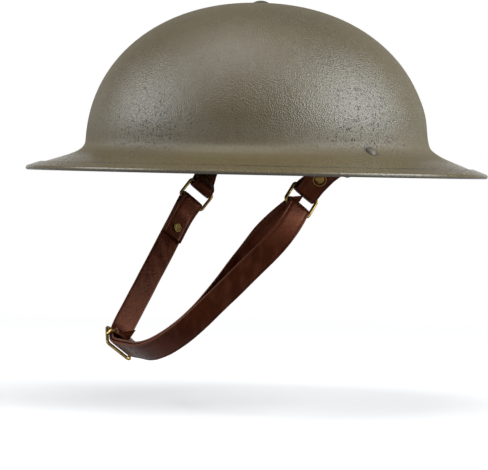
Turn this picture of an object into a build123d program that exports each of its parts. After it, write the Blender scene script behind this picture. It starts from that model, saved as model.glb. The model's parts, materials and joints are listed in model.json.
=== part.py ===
from build123d import *
import os
from math import asin, atan2, cos, degrees, hypot, pi, radians, sin

# A shallow steel helmet with a wide brim, its lining, and a leather chin strap.
# Sizes are in millimetres. The centre of the brim's edge is the origin, the front is -Y,
# the wearer's left is +X and up is +Z.

# Steel shell
brim_length = 305.0
brim_width = 290.0
bowl_length = 228.6
bowl_width = 207.0
bowl_height = 97.0          # from the height where the bowl's curve springs to its top
bowl_spring = 13.4          # height where the bowl's curve springs
bowl_fullness = 2.14        # 2 is a plain ellipse, more is squarer
brim_corner = 14.0          # height where the brim's line would meet the bowl's wall
flare_start_share = 0.31    # share of the brim's run that is bent into the bowl
flare_top = 20.4            # height where the bend ends in the bowl's wall
brim_lean = 2.6             # the bend sits this far back, so the front brim is the lower one
sheet = 1.0                 # steel of the shell

# Edge strip, folded round the brim
strip_sheet = 0.9
strip_leg = 8.0
nose_steps = 6
edge_trim = 0.2             # the sheet's cut edge stands this far inside the strip's nose

# Seats between pieces
seat = 0.1                  # steel on steel
soft_seat = 0.3             # leather, cloth, felt and rubber
hole_fit = 0.1              # round a rivet's shank
cut_over = 2.0              # overrun of every cut

# Crown rivet and its burr
crown_head_radius = 5.5
crown_head_height = 1.6
crown_shank_radius = 2.0
crown_tail_radius = 3.0
crown_burr_radius = 7.0
crown_burr_height = 1.0

# Lining
bumper_count = 12
bumper_radius = 5.0
bumper_bore = 2.6
bumper_seat = 0.5           # from the steel at the tubes' ends
bumper_low = 22.0
bumper_high = 53.0
band_low = 19.0
band_high = 56.0
felt_sheet = 2.5
oilcloth = 1.5
cap_sheet = 1.2
pad_height = 5.6
pad_radius = 25.0
pad_curve_share = 0.28      # drop of the pad's top half way out to its edge
net_low = 52.0
net_rise = 36.0
net_sheet = 1.6
net_hole_radius = 13.0
net_columns = 20
net_cord = 2.6
net_row_step = 16.0         # degrees between two rows of gaps
draw_cord_radius = 1.3

# Chin strap, which lies in one leaning plane through the two rings' lower bars
strap_lean = 36.4           # degrees from upright, towards the front
strap_width = 16.0
strap_sheet = 2.0
chin_drop = 118.5           # from the rings' lower bars down to the strap at the chin
near_radius = 60.0          # left jaw bend
far_radius = 24.0           # right jaw bend, which carries the buckle
far_offset = 27.0           # centre of the right jaw bend, from the middle
bulge_radius = 45.0         # where the outer layer stands away from the cheek
bulge_run = 4.0
bulge_angle = 14.0
cheek_radius = 30.0         # where the inner layer turns down along the cheek
cheek_reach = 62.0
strap_tail = 30.0
tail_rivet_share = 0.76     # along the strap's end
tail_radius = 24.0

# Rings, tabs, bails and lugs. The left ones are built, and mirrored for the right.
wire_radius = 1.1
play_radius = 2.3           # inside of a leather fold round a wire
fold_sag = 0.3              # the strap's folds hang this far below the middle of their wires
ring_reach = 82.0           # lower bar of a ring, from the middle
ring_y = -11.4
ring_z = -21.8
ring_pitch = 13.0
ring_tilt = 8.8             # degrees, in towards the head
ring_inside = 17.4
ring_bend = 1.8
tab_pitch = 24.7
tab_tilt = -34.6            # degrees, out from the head
tab_skew = 1.1              # along the bars
tab_sheet = 2.0
bail_pitch = 9.4
bail_tilt = -43.5
bail_slip = -0.6            # middle of the bail's lower bar, from the tab's
bail_skew = -1.9
bail_inside = 21.0
bail_bend = 2.6
lug_y = 29.0
lug_sheet = 1.0
lug_width = 9.0
lug_pad_radius = 4.6
lug_play = 1.0
lug_arm = 5.0               # width of the arm from the pad to the eye
lug_shank_radius = 1.5
lug_head_radius = 3.5
lug_head_height = 1.5
lug_tail_radius = 2.6
lug_tail_height = 0.9
lug_stand = 0.5             # the head spans the hollow of the bend by this much
tab_rivet_radius = 3.0
tab_rivet_height = 1.1
tab_shank_radius = 1.3
tab_eye_end = 0.4           # radius of the narrow end of a tab's eye
clear_room = 40.0           # block that trims the lug to the shell

# Slide buckle on the right jaw bend
buckle_angle = 32.0         # degrees up the bend from its lowest point
buckle_half = 11.0          # from the centre bar to each end bar
buckle_wire = 1.1
buckle_bend = 2.4
staple_bend = 1.5           # corners of the middle bar and its legs
buckle_play = 0.5
side_play = 0.7
loop_play = 0.3
loop_tail_angle = 30.0      # length of the loop's short end, in degrees of the bend

fold_radius = play_radius + strap_sheet / 2
tab_fold = play_radius + tab_sheet
strip_depth = seat + strip_sheet


share_step = 0.001
leg_overrun_share = 1.1


def shell_profile(edge, wall, share):
    """Radius and height on the outer surface: 0 to 1 brim, 1 to 2 bend, 2 to 3 bowl."""
    corner = (wall, brim_corner)
    brim_end = (wall + flare_start_share * (edge - wall), brim_corner * (1 - flare_start_share))
    if share <= 1:
        return (edge + (brim_end[0] - edge) * share, sheet / 2 + (brim_end[1] - sheet / 2) * share)
    spring = asin(((flare_top - bowl_spring) / bowl_height) ** (bowl_fullness / 2))
    power = 2 / bowl_fullness
    if share <= 2:
        t = share - 1
        top = (wall * cos(spring) ** power, flare_top)
        return tuple((1 - t) ** 2 * a + 2 * t * (1 - t) * b + t * t * c
                     for a, b, c in zip(brim_end, corner, top))
    angle = spring + (share - 2) * (pi / 2 - spring)
    return (wall * cos(angle) ** power, bowl_spring + bowl_height * sin(angle) ** power)


def shell_point(edge, wall, share, depth):
    """The same point, moved in by a depth along the surface's normal, and that normal."""
    r1, z1 = shell_profile(edge, wall, share - share_step)
    r2, z2 = shell_profile(edge, wall, share + share_step)
    length = hypot(r2 - r1, z2 - z1)
    normal = ((z2 - z1) / length, (r1 - r2) / length)
    r, z = shell_profile(edge, wall, share)
    return r - depth * normal[0], z - depth * normal[1], normal


def ellipse(semi_x, semi_y, height, shift=0.0):
    return Wire([Edge.make_ellipse(semi_x, semi_y, Plane((0, shift, height)))])


edge_x = brim_width / 2 - strip_depth - sheet / 2
edge_y = brim_length / 2 - strip_depth - sheet / 2
wall_x = bowl_width / 2
wall_y = bowl_length / 2


def lean_at(height):
    rise = (height - sheet / 2) / (flare_top - sheet / 2)
    return brim_lean * (1 - cos(2 * pi * min(1.0, max(0.0, rise)))) / 2


def shell_ring(share, depth):
    """One closed ring of the shell, depth below its outer surface."""
    rx, zx, _ = shell_point(edge_x, wall_x, share, depth)
    ry, zy, _ = shell_point(edge_y, wall_y, share, depth)
    return ellipse(rx, ry, (zx + zy) / 2, lean_at(shell_profile(edge_x, wall_x, share)[1]))


def prism(semi_x, semi_y, low, high, shift=0.0):
    return Solid.extrude(Face(ellipse(semi_x, semi_y, low, shift)), Vector(0, 0, high - low))


def drill(spot, direction, radius, reach):
    """A cutter along a rivet's axis, both ways from its spot."""
    return Plane(origin=spot, z_dir=direction) * Cylinder(radius, 2 * reach)


ring_shares = (-0.22, 0, 0.34, 0.68, 1.0, 1.25, 1.5, 1.75, 2.0, 2.1, 2.21, 2.33, 2.45, 2.57,
               2.68, 2.78, 2.86, 2.925, 2.97)
crown_top = bowl_spring + bowl_height
lug_share = 1.5


def lug_frame():
    """Seat of the left lug's rivet on the outer surface, and the normal there."""
    rx, z, normal = shell_point(edge_x, wall_x, lug_share, 0)
    ry = shell_point(edge_y, wall_y, lug_share, 0)[0]
    turn = asin((lug_y - lean_at(z)) / ry)
    out = Vector(cos(turn) / rx, sin(turn) / ry, 0).normalized() * normal[0]
    return Vector(rx * cos(turn), lug_y, z), Vector(out.X, out.Y, normal[1])


def make_shell():
    outer = Solid.make_loft([shell_ring(s, 0) for s in ring_shares])
    inner = Solid.make_loft([shell_ring(s, sheet) for s in ring_shares])
    shell = (outer - inner) & prism(edge_x - edge_trim, edge_y - edge_trim, -brim_corner,
                                    crown_top + cut_over)
    spot, normal = lug_frame()
    for side in (1, -1):
        shell -= drill(Vector(side * spot.X, spot.Y, spot.Z), Vector(side * normal.X, normal.Y, normal.Z),
                       lug_shank_radius + hole_fit, lug_head_radius)
    return shell - drill((0, 0, crown_top), (0, 0, 1), crown_shank_radius + hole_fit, brim_corner)


def strip_ring(clear, turn):
    """A ring on the rounded nose of the strip: turn is 0 above the sheet and 180 below it."""
    def spot(edge, wall):
        r, z, normal = shell_point(edge, wall, 0, sheet / 2)
        reach = clear + sheet / 2
        up, out = cos(radians(turn)) * reach, sin(radians(turn)) * reach
        return r + up * normal[0] + out * normal[1], z + up * normal[1] - out * normal[0]
    (rx, zx), (ry, zy) = spot(edge_x, wall_x), spot(edge_y, wall_y)
    return ellipse(rx, ry, (zx + zy) / 2)


leg_share = strip_leg / ((edge_y - wall_y) * (1 - flare_start_share))


def strip_body(clear):
    """Everything within a clearance of the brim's edge."""
    nose = [strip_ring(clear, 180 * step / nose_steps) for step in range(nose_steps + 1)]
    return Solid.make_loft([shell_ring(leg_share * leg_overrun_share, -clear)] + nose +
                           [shell_ring(leg_share * leg_overrun_share, sheet + clear)], True)


def make_rim_strip():
    rx = shell_profile(edge_x, wall_x, leg_share)[0]
    ry = shell_profile(edge_y, wall_y, leg_share)[0]
    middle = prism(rx, ry, -brim_corner, brim_corner)
    return strip_body(strip_depth) - strip_body(seat) - middle


def rivet(head_radius, head_height, shank_radius, grip, tail_radius, tail_height):
    """A rivet on the Z axis: its domed head stands on z = 0 and its tail is closed below the grip."""
    outline = Polyline((0, 0, head_height), (0, 0, -grip - tail_height),
                       (tail_radius, 0, -grip - tail_height), (tail_radius, 0, -grip),
                       (shank_radius, 0, -grip), (shank_radius, 0, 0), (head_radius, 0, 0))
    ball = (head_radius ** 2 + head_height ** 2) / (2 * head_height)
    half = asin(head_radius / ball) / 2
    middle = (ball * sin(half), 0, ball * cos(half) + head_height - ball)
    dome = ThreePointArc((head_radius, 0, 0), middle, (0, 0, head_height))
    return revolve(make_face(outline + dome), Axis.Z)


def inner_semi(wall, height):
    """Half width of the shell's inside at a height in the bowl."""
    rise = (height - bowl_spring) / (bowl_height - sheet)
    return (wall - sheet) * (1 - rise ** bowl_fullness) ** (1 / bowl_fullness)


def lining_semi(wall, height, depth):
    """Half width of the lining's straight sides, depth in from the shell."""
    low, high = inner_semi(wall, bumper_low), inner_semi(wall, bumper_high)
    return low + (high - low) * (height - bumper_low) / (bumper_high - bumper_low) - depth


felt_depth = 2 * bumper_radius + bumper_seat + soft_seat
oilcloth_depth = felt_depth + felt_sheet + seat
lining_depth = oilcloth_depth + oilcloth


def lining_loft(depth, low, high):
    return Solid.make_loft([ellipse(lining_semi(wall_x, z, depth), lining_semi(wall_y, z, depth), z)
                            for z in (low, high)], True)


def make_lining_band(depth, thickness):
    outer = lining_loft(depth, band_low, band_high)
    return outer - lining_loft(depth + thickness, band_low, band_high)


def make_bumpers():
    """Short rubber tubes that stand round the band and hold it off the steel."""
    tubes = []
    for number in range(bumper_count):
        turn = 2 * pi * (number + 0.5) / bumper_count
        ends = []
        for height in (bumper_low, bumper_high):
            depth = bumper_seat + bumper_radius
            ends.append(Vector(lining_semi(wall_x, height, depth) * cos(turn),
                               lining_semi(wall_y, height, depth) * sin(turn), height))
        stand = Plane(origin=ends[0], z_dir=ends[1] - ends[0])
        tall = (ends[1] - ends[0]).length
        tube = Circle(bumper_radius) - Circle(bumper_bore)
        tubes.append(extrude(stand * tube, tall))
    return Compound(children=tubes)


cap_shares = (0, 0.2, 0.4, 0.6, 0.76, 0.88, 0.96)
cap_base = lining_depth - oilcloth
cap_top = crown_top - sheet - pad_height


def dome(base_x, base_y, low, top, shares):
    """A closed dome of rings from its base up to near its top."""
    rings = []
    for share in shares:
        turn = share * pi / 2
        rings.append(ellipse(base_x * cos(turn), base_y * cos(turn), low + (top - low) * sin(turn)))
    return Solid.make_loft(rings)


def make_lining_cap():
    """The oilcloth dome between the band and the crown, held by the crown rivet."""
    base_x = lining_semi(wall_x, band_high, cap_base)
    base_y = lining_semi(wall_y, band_high, cap_base)
    outer = dome(base_x, base_y, band_high, cap_top, cap_shares)
    inner = dome(base_x - cap_sheet, base_y - cap_sheet, band_high, cap_top - cap_sheet, cap_shares)
    return outer - inner - drill((0, 0, cap_top), (0, 0, 1), crown_shank_radius + hole_fit, pad_height)


def make_crown_pad():
    """A thick felt disc between the steel and the oilcloth."""
    low = cap_top + seat
    drop = crown_top - sheet - (bowl_spring + (bowl_height - sheet) *
                                (1 - (pad_radius / (wall_x - sheet)) ** bowl_fullness) ** (1 / bowl_fullness))
    high = crown_top - sheet - soft_seat
    outline = Polyline((0, 0, high), (0, 0, low), (pad_radius, 0, low), (pad_radius, 0, high - drop))
    face = make_face(outline + ThreePointArc((pad_radius, 0, high - drop),
                                             (pad_radius / 2, 0, high - drop * pad_curve_share), (0, 0, high)))
    return revolve(face, Axis.Z) - drill((0, 0, crown_top), (0, 0, 1), crown_shank_radius + hole_fit,
                                         bowl_spring)


def make_crown_rivet():
    grip = crown_top + 2 * seat - burr_top() + crown_burr_height
    body = rivet(crown_head_radius, crown_head_height, crown_shank_radius, grip, crown_tail_radius,
                 crown_burr_height)
    return Pos(0, 0, crown_top + seat) * body


def burr_top():
    """The burr's rim meets the oilcloth dome a little below its middle."""
    rise = cap_top - cap_sheet - band_high
    base = lining_semi(wall_x, band_high, cap_base) - cap_sheet
    return band_high + rise * cos(asin(crown_burr_radius / base)) - seat


def make_crown_burr():
    ring = Circle(crown_burr_radius) - Circle(crown_shank_radius + hole_fit)
    return Pos(0, 0, burr_top()) * extrude(ring, -crown_burr_height)


net_rows = ((18.0, 0.0), (34.0, 0.5), (50.0, 0.0), (66.0, 0.5))


def make_crown_net():
    """A domed twine net with diamond gaps, sewn to the band and drawn in round its middle."""
    base_x = lining_semi(wall_x, band_high, lining_depth + soft_seat)
    base_y = lining_semi(wall_y, band_high, lining_depth + soft_seat)
    top = net_low + net_rise
    outer = dome(base_x, base_y, net_low, top, cap_shares)
    inner = dome(base_x - net_sheet, base_y - net_sheet, net_low, top - net_sheet, cap_shares)
    net = outer - inner - drill((0, 0, top), (0, 0, 1), net_hole_radius, net_rise)
    gaps = []
    for up, shift in net_rows:
        for number in range(net_columns):
            turn = 2 * pi * (number + shift) / net_columns
            flat = cos(radians(up))
            spot = Vector(base_x * flat * cos(turn), base_y * flat * sin(turn),
                          net_low + net_rise * sin(radians(up)))
            wide = (base_x + base_y) / 2 * flat * pi / net_columns - net_cord
            out = Vector(spot.X / base_x ** 2, spot.Y / base_y ** 2, (spot.Z - net_low) / net_rise ** 2)
            plane = Plane(origin=spot, z_dir=out, x_dir=Vector(-sin(turn), cos(turn), 0))
            tall = min(wide, (base_x + net_rise) / 2 * radians(net_row_step) - net_cord / 2)
            gap = make_face(Polyline((wide, 0), (0, tall), (-wide, 0), (0, -tall), close=True))
            gaps.append(extrude(plane * gap, net_cord * 2, both=True))
    return net - gaps


def make_draw_cord():
    height = net_low + net_rise * cos(asin(net_hole_radius / lining_semi(wall_x, band_high, lining_depth)))
    return Pos(0, 0, height - net_sheet / 2) * Torus(net_hole_radius - draw_cord_radius - soft_seat,
                                                     draw_cord_radius)


# The strap's plane: x is across the head, y is up along the strap and z is the strap's width.
lean = radians(strap_lean)
strap_plane = Plane(origin=(0, ring_y, ring_z), x_dir=(1, 0, 0), z_dir=(0, -cos(lean), sin(lean)))


def strap_spot(across, up, along=0.0):
    return strap_plane.from_local_coords(Vector(across, up, along))


def touch(first, second):
    """The straight run between two circles (x, y, radius); a radius over 0 is passed clockwise."""
    gap = hypot(second[0] - first[0], second[1] - first[1])
    swing = asin(max(-1.0, min(1.0, (second[2] - first[2]) / gap)))
    return atan2(second[1] - first[1], second[0] - first[0]) + swing


def beside(circle, heading, offset):
    reach = circle[2] + offset
    return (circle[0] - reach * sin(heading), circle[1] + reach * cos(heading))


def belt(circles, offset):
    """Lines and arcs of a path round the circles, moved to its left by an offset."""
    headings = [touch(a, b) for a, b in zip(circles, circles[1:])]
    edges = []
    last = beside(circles[0], headings[0], offset)
    for number, heading in enumerate(headings):
        end = beside(circles[number + 1], heading, offset)
        if hypot(end[0] - last[0], end[1] - last[1]) > strap_sheet / 1000:
            edges.append(Line(last, end))
            last = end
        if number + 1 < len(headings):
            way = 1 if circles[number + 1][2] > 0 else -1
            turn = (way * (heading - headings[number + 1])) % (2 * pi)
            if radians(0.1) < turn < radians(359.9):
                half = heading - way * turn / 2
                end = beside(circles[number + 1], headings[number + 1], offset)
                edges.append(ThreePointArc(last, beside(circles[number + 1], half, offset), end))
                last = end
    return edges


def band(circles, thickness, width):
    """A strap of even thickness along the path, centred on the strap's plane."""
    left, right = belt(circles, thickness / 2), belt(circles, -thickness / 2)
    caps = [Line(left[0] @ 0, right[0] @ 0), Line(left[-1] @ 1, right[-1] @ 1)]
    face = make_face(Curve(children=left + right + caps))
    return extrude(strap_plane * face, width / 2, both=True)


left_bar = (ring_reach, 0.0)
left_fold = (ring_reach, -fold_sag)
right_fold = (-ring_reach, -fold_sag)
near_bend = (0.0, near_radius - chin_drop)
far_bend = (-far_offset, far_radius - chin_drop)
layer_step = strap_sheet + soft_seat
cheek_bend = (cheek_reach + cheek_radius, -cheek_radius, -cheek_radius)


def bulge_circle():
    swing = atan2(bulge_radius - fold_radius, bulge_run)
    reach = hypot(bulge_radius - fold_radius, bulge_run)
    heading = radians(bulge_angle - 90) - swing
    return (left_fold[0] + reach * cos(heading), left_fold[1] + reach * sin(heading), bulge_radius)


def fold_end():
    """Inner end of the fold over the left ring, where the strap's inner layer begins."""
    start = (*left_fold, -fold_radius)
    return (*beside(start, touch(start, cheek_bend), 0), 0.0)


def chin_circles():
    far = (*far_bend, far_radius)
    hook = (*right_fold, fold_radius)
    heading = touch(far, hook)
    back = (-cos(heading), -sin(heading))
    inward = (sin(heading), -cos(heading))
    outer = beside(hook, heading, 0)
    bend_back = strap_tail / 2
    bend = (outer[0] + bend_back * back[0] + (layer_step + tail_radius) * inward[0],
            outer[1] + bend_back * back[1] + (layer_step + tail_radius) * inward[1], -tail_radius)
    end = (outer[0] + strap_tail * back[0] + layer_step * inward[0],
           outer[1] + strap_tail * back[1] + layer_step * inward[1], 0.0)
    return [fold_end(), (*left_fold, fold_radius), bulge_circle(), (*near_bend, near_radius), far, hook,
            bend, end]


def tail_rivet_spot():
    """Where the rivet goes through the strap's end and the strap beside it."""
    circles = chin_circles()
    heading = touch(circles[4], circles[5])
    outer = beside(circles[5], heading, -strap_sheet / 2)
    run = strap_tail * tail_rivet_share
    return (outer[0] - run * cos(heading), outer[1] - run * sin(heading)), heading


def make_chin_strap():
    """The outer layer: over the left ring, round the chin and back on itself over the right ring."""
    strap = band(chin_circles(), strap_sheet, strap_width)
    return strap - strap_rivet_hole()


def strap_rivet_frame():
    spot, heading = tail_rivet_spot()
    out = strap_plane.from_local_coords(Vector(-sin(heading), cos(heading), 0)) - strap_plane.origin
    return strap_spot(*spot), out


def strap_rivet_hole():
    spot, out = strap_rivet_frame()
    return drill(spot, out, tab_shank_radius + hole_fit, strap_sheet * 3)


def make_strap_rivet():
    spot, out = strap_rivet_frame()
    head = spot + out * (strap_sheet + seat)
    grip = 2 * strap_sheet + soft_seat + 2 * seat
    body = rivet(tab_rivet_radius, tab_rivet_height, tab_shank_radius, grip, tab_rivet_radius,
                 tab_rivet_height)
    return Plane(origin=head, z_dir=out) * body


bar_depth = strap_sheet / 2 + layer_step + loop_play + buckle_wire
loop_radius = buckle_wire + loop_play + strap_sheet / 2


def on_far_bend(radius, angle):
    """A point at an angle up the right jaw bend."""
    turn = radians(angle)
    return (far_bend[0] - radius * sin(turn), far_bend[1] - radius * cos(turn))


def make_strap_return():
    """The inner layer: down the left cheek, under the chin, and looped round the buckle's bar."""
    near = (*near_bend, near_radius - layer_step)
    far = (*far_bend, far_radius - layer_step)
    bar = (*on_far_bend(far_radius - bar_depth, buckle_angle), loop_radius)
    back = far_radius - bar_depth - loop_radius
    tail = (*far_bend, -back)
    end = (*on_far_bend(back, buckle_angle - loop_tail_angle), 0.0)
    return band([fold_end(), cheek_bend, near, far, bar, tail, end], strap_sheet, strap_width)


def make_buckle():
    """A wire frame whose end bars lie over the strap, with a staple for the bar under the strap."""
    over = far_radius + strap_sheet / 2 + buckle_play + buckle_wire
    swing = degrees(buckle_half / over)
    low, high = on_far_bend(over, buckle_angle - swing), on_far_bend(over, buckle_angle + swing)
    bar = on_far_bend(far_radius - bar_depth, buckle_angle)
    middle = ((low[0] + high[0]) / 2, (low[1] + high[1]) / 2)
    half = strap_width / 2 + side_play + buckle_wire
    frame = bent_wire([strap_spot(*low, -half), strap_spot(*high, -half), strap_spot(*high, half),
                       strap_spot(*low, half)], buckle_bend, buckle_wire, True)
    staple = bent_wire([strap_spot(*middle, -half), strap_spot(*bar, -half), strap_spot(*bar, half),
                        strap_spot(*middle, half)], staple_bend, buckle_wire, False)
    return frame + staple


def step_from(spot, pitch, tilt):
    return (spot[0] - pitch * sin(radians(tilt)), spot[1] + pitch * cos(radians(tilt)))


def toward(spot, other, reach):
    share = reach / hypot(other[0] - spot[0], other[1] - spot[1])
    return (spot[0] + (other[0] - spot[0]) * share, spot[1] + (other[1] - spot[1]) * share)


ring_top = step_from(left_bar, ring_pitch, ring_tilt)
bail_low = step_from(ring_top, tab_pitch, tab_tilt)
bail_top = step_from(bail_low, bail_pitch, bail_tilt)


def bent_wire(corners, bend, radius, closed):
    path = FilletPolyline(*corners, radius=bend, close=closed)
    return sweep(Plane(origin=path @ 0, z_dir=path % 0) * Circle(radius), path=path)


def wire_loop(low, high, low_along, high_along, inside, bend):
    """A closed wire loop with two bars along the strap's width."""
    half = inside / 2 + wire_radius
    corners = [strap_spot(*low, low_along - half), strap_spot(*high, high_along - half),
               strap_spot(*high, high_along + half), strap_spot(*low, low_along + half)]
    return bent_wire(corners, bend, wire_radius, True)


def make_ring():
    return wire_loop(left_bar, ring_top, 0, 0, ring_inside, ring_bend)


bail_low_along = tab_skew + bail_slip
bail_top_along = bail_low_along + bail_skew


def make_bail():
    return wire_loop(bail_low, bail_top, bail_low_along, bail_top_along, bail_inside, bail_bend)


def tab_axis():
    """The tab's middle, its direction from the ring to the bail, and its outward normal."""
    low, high = strap_spot(*ring_top), strap_spot(*bail_low, tab_skew)
    up = (high - low).normalized()
    return (low + high) / 2, up, up.cross(strap_plane.z_dir).normalized()


def make_tab():
    """Doubled leather with a fold round each wire and a rivet through the middle."""
    def fold(wire, other):
        spot = toward(wire, other, fold_sag)
        mid = toward(spot, other, tab_fold + tab_sheet * 2)
        skin = make_hull((Pos(*spot) * Circle(tab_fold)).edges() + (Pos(*mid) * Circle(tab_sheet)).edges())
        neck = toward(spot, other, play_radius + tab_sheet)
        eye = make_hull((Pos(*spot) * Circle(play_radius)).edges() +
                        (Pos(*neck) * Circle(tab_eye_end)).edges())
        return skin, eye
    low_skin, low_eye = fold(ring_top, bail_low)
    high_skin, high_eye = fold(bail_low, ring_top)
    body = trace(Line(ring_top, bail_low), 2 * tab_sheet)
    face = body + low_skin + high_skin - low_eye - high_eye
    wide = extrude(strap_plane * face, strap_width / 2 - tab_skew, both=True)
    middle, up, normal = tab_axis()
    across = strap_plane.z_dir * (strap_width / 2)
    reach = up * (tab_pitch / 2 + 2 * tab_fold)
    corners = [middle - reach - across, middle + reach - across, middle + reach + across,
               middle - reach + across]
    outline = Face(Wire.make_polygon([c - normal * 2 * tab_fold for c in corners], close=True))
    tab = wide & Solid.extrude(outline, normal * (4 * tab_fold))
    return tab - drill(middle, normal, tab_shank_radius + hole_fit, tab_sheet * 3)


def make_tab_rivet():
    middle, _, normal = tab_axis()
    grip = 2 * (tab_sheet + seat)
    body = rivet(tab_rivet_radius, tab_rivet_height, tab_shank_radius, grip, tab_rivet_radius,
                 tab_rivet_height)
    return Plane(origin=middle + normal * (tab_sheet + seat), z_dir=normal) * body


def make_lug_rivet():
    spot, normal = lug_frame()
    grip = lug_stand + sheet + lug_sheet + 3 * seat
    body = rivet(lug_head_radius, lug_head_height, lug_shank_radius, grip, lug_tail_radius,
                 lug_tail_height)
    return Plane(origin=spot + normal * lug_stand, z_dir=normal) * body


def make_lug_clip():
    """A steel lug under the shell: a pad on the rivet, an arm and a rolled eye round the bail's top bar."""
    spot, normal = lug_frame()
    under = spot - normal * (sheet + seat)
    pad = Plane(origin=under, z_dir=-normal) * extrude(Circle(lug_pad_radius), lug_sheet)
    eye_mid = strap_spot(*bail_top, bail_top_along)
    eye_plane = Plane(origin=eye_mid, x_dir=strap_plane.x_dir, z_dir=strap_plane.z_dir)
    eye_inside = wire_radius + lug_play
    eye = eye_plane * extrude(Circle(eye_inside + lug_sheet), lug_width / 2, both=True)
    hole = eye_plane * extrude(Circle(eye_inside), lug_width, both=True)
    reach = eye_mid - under
    flat = (reach - normal * reach.dot(normal)).normalized()
    start = under - normal * (lug_sheet / 2) + flat * (lug_pad_radius - lug_sheet)
    run = eye_mid - start
    up = run.cross(normal).cross(run).normalized()
    arm = Plane(origin=(start + eye_mid) / 2, x_dir=run, z_dir=up) * Box(run.length, lug_arm, lug_sheet)
    above = Plane(origin=under, z_dir=normal) * Pos(0, 0, clear_room / 2) * Box(clear_room, clear_room,
                                                                                clear_room)
    below = Plane(origin=under - normal * lug_sheet, z_dir=-normal)
    room = below * extrude(Circle(lug_tail_radius + soft_seat), lug_width)
    clip = (pad + arm + eye) - above - room - hole
    return clip - drill(under, normal, lug_shank_radius + hole_fit, lug_sheet * 3)


def mirrored(shape):
    return mirror(shape, about=Plane.YZ)


def make_all():
    nodes = {
        "steel_shell": make_shell(),
        "rim_strip": make_rim_strip(),
        "crown_rivet": make_crown_rivet(),
        "crown_burr": make_crown_burr(),
        "crown_pad": make_crown_pad(),
        "lining_cap": make_lining_cap(),
        "felt_band": make_lining_band(felt_depth, felt_sheet),
        "head_band": make_lining_band(oilcloth_depth, oilcloth),
        "rubber_bumpers": make_bumpers(),
        "crown_net": make_crown_net(),
        "draw_cord": make_draw_cord(),
        "chin_strap": make_chin_strap(),
        "strap_return": make_strap_return(),
        "strap_rivet": make_strap_rivet(),
        "slide_buckle": make_buckle(),
    }
    pairs = {"lug_rivet": make_lug_rivet(), "lug_clip": make_lug_clip(), "bail": make_bail(),
             "tab": make_tab(), "tab_rivet": make_tab_rivet(), "ring": make_ring()}
    for name, shape in pairs.items():
        nodes["left_" + name] = shape
        nodes["right_" + name] = mirrored(shape)
    return nodes


os.makedirs("parts", exist_ok=True)
for node, shape in make_all().items():
    export_step(shape, "parts/" + node + ".step")
    print(node, round(shape.volume), "mm3")
for label, spot in (("left bail top bar", (*bail_top, bail_top_along)),
                    ("left bail lower bar", (*bail_low, tab_skew)), ("left ring top bar", ring_top),
                    ("left ring lower bar", left_bar), ("right jaw bend", far_bend)):
    print(label, [round(v, 3) for v in strap_spot(*spot)])
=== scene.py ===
import bpy
import bmesh
from math import asin, atan2, cos, hypot, pi, radians, sin
from mathutils import Matrix, Vector, noise
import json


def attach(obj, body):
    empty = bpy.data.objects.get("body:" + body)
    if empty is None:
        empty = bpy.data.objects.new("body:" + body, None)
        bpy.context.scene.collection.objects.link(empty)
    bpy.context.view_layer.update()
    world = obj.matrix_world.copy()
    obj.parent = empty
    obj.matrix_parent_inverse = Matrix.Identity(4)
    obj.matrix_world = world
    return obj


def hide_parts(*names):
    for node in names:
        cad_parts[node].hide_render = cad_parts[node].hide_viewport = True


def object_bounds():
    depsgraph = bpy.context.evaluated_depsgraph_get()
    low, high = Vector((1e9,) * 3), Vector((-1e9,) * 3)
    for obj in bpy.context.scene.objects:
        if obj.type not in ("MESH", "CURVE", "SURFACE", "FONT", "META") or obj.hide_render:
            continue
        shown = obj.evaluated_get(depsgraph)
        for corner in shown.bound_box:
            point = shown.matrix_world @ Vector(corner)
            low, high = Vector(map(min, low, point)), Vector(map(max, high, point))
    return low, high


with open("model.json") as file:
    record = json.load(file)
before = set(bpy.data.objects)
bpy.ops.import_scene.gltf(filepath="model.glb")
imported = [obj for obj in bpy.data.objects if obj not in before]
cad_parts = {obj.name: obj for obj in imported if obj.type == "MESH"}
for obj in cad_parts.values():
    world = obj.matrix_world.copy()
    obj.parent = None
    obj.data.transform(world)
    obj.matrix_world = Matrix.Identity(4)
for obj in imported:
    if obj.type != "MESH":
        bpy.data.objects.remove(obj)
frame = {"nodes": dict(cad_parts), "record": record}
cad_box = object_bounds()
node_of = frame["nodes"]

# The ruffles' noise starts from the clock unless it has a seed.
noise.seed_set(1)

# Sizes in metres, the same as in the part's source.

# The shell: a full bowl on a flared brim, and the gaps between things that touch.
bowl_width = 0.207
bowl_length = 0.2286
bowl_height = 0.097
bowl_spring = 0.0134
bowl_fullness = 2.14
sheet = 0.001
seat = 0.0001
soft_seat = 0.0003
wall_x = bowl_width / 2
wall_y = bowl_length / 2
crown_top = bowl_spring + bowl_height

# The lining: rubber tubes, felt band, oilcloth band and cap, felt pad and net.
bumper_radius = 0.005
bumper_seat = 0.0005
bumper_low = 0.022
bumper_high = 0.053
band_low = 0.019
band_high = 0.056
felt_sheet = 0.0025
oilcloth = 0.0015
cap_sheet = 0.0012
pad_height = 0.0056
pad_radius = 0.025
net_low = 0.052
net_rise = 0.036
net_twine = 0.00085

# The chin strap, which bends round the left cheek, the chin and the buckle.
strap_lean = radians(36.4)
strap_width = 0.016
strap_sheet = 0.002
chin_drop = 0.1185
near_radius = 0.060
far_radius = 0.024
far_offset = 0.027
bulge_radius = 0.045
bulge_run = 0.004
bulge_angle = radians(14)
cheek_radius = 0.030
cheek_reach = 0.062
strap_tail = 0.030
tail_radius = 0.024
layer_step = strap_sheet + soft_seat

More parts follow.
